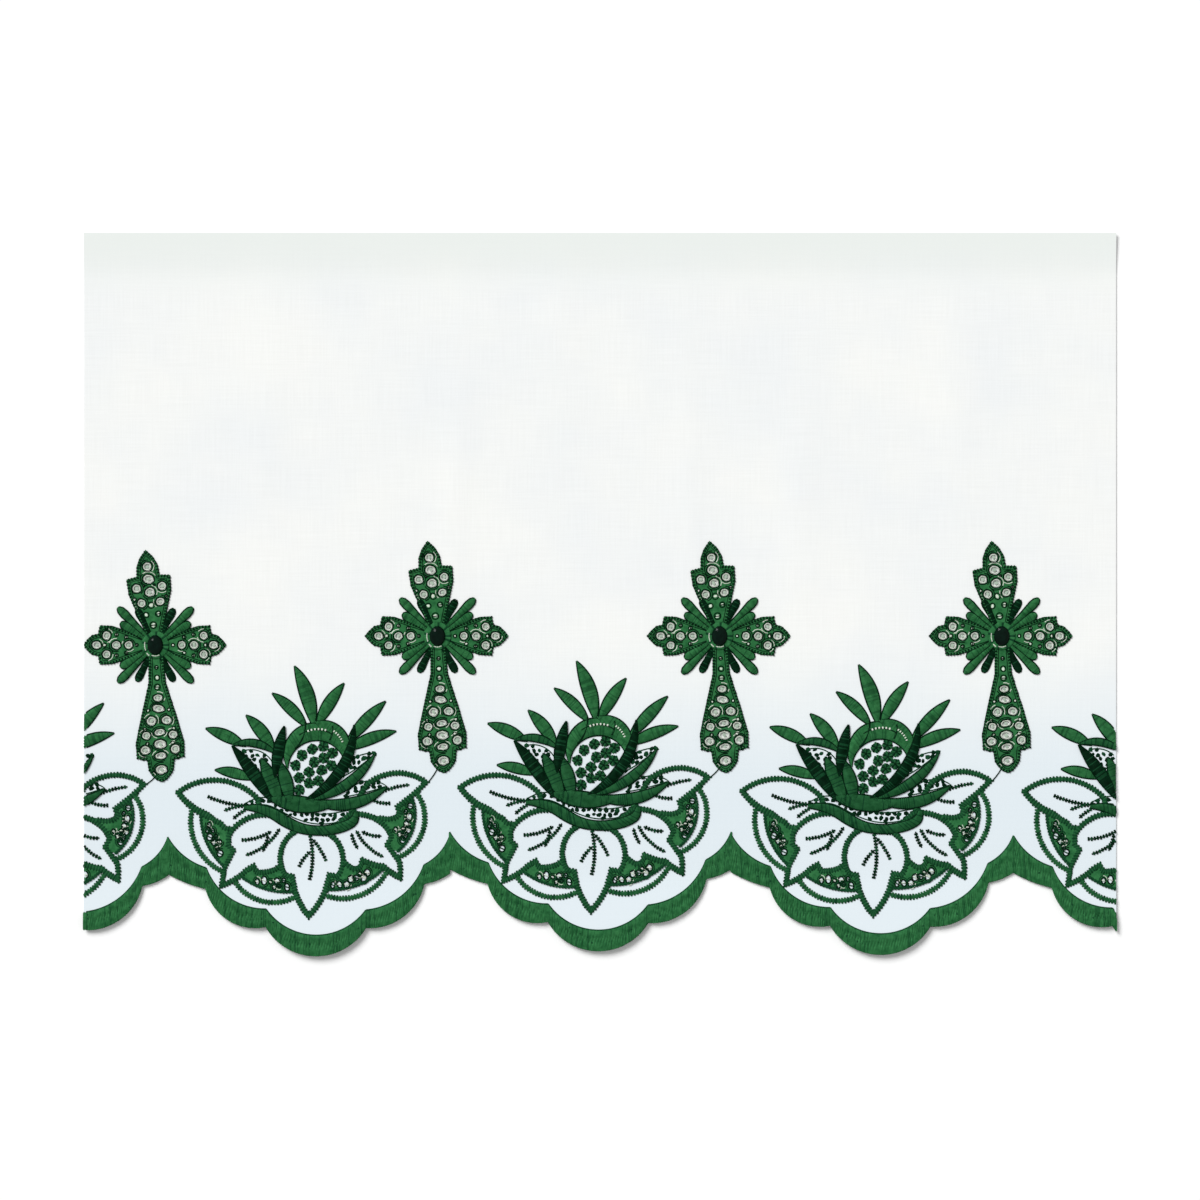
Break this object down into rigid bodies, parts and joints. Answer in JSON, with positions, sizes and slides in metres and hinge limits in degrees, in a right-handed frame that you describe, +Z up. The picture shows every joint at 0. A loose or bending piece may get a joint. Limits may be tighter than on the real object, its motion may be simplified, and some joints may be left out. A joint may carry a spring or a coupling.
{
  "type": "altar cloth",
  "caption": "Cut length of white altar linen laid flat, with a green scalloped edging, cutwork crosses set with dark stones and embroidered flower motifs.",
  "frame": {"origin": "centre of the sheet's outline, on the surface that the cloth lies on", "axes": "+X along the hem, +Y from the scalloped hem towards the straight cut edge, +Z up out of the face"},
  "size_m": [0.516, 0.3614, 0.0048],
  "materials": {
    "linen": "matte white plain weave",
    "green_thread": "satin stitch with a low silky sheen",
    "dark_stone": "polished facets"
  },
  "bodies": {
    "root": {"cloth": "linen", "border": "green_thread", "cross_1": "green_thread", "cross_2": "green_thread", "cross_3": "green_thread", "cross_4": "green_thread", "gem_1": "dark_stone", "gem_2": "dark_stone", "gem_3": "dark_stone", "gem_4": "dark_stone", "flower_1": "green_thread", "flower_2": "green_thread", "flower_3": "green_thread", "flower_left": "green_thread", "flower_left_leaf_2": "green_thread", "flower_left_leaf_3": "green_thread", "flower_left_leaf_4": "green_thread", "flower_left_leaf_5": "green_thread", "flower_right": "green_thread", "flower_right_leaf_2": "green_thread", "flower_right_leaf_3": "green_thread"}
  },
  "joints": []
}
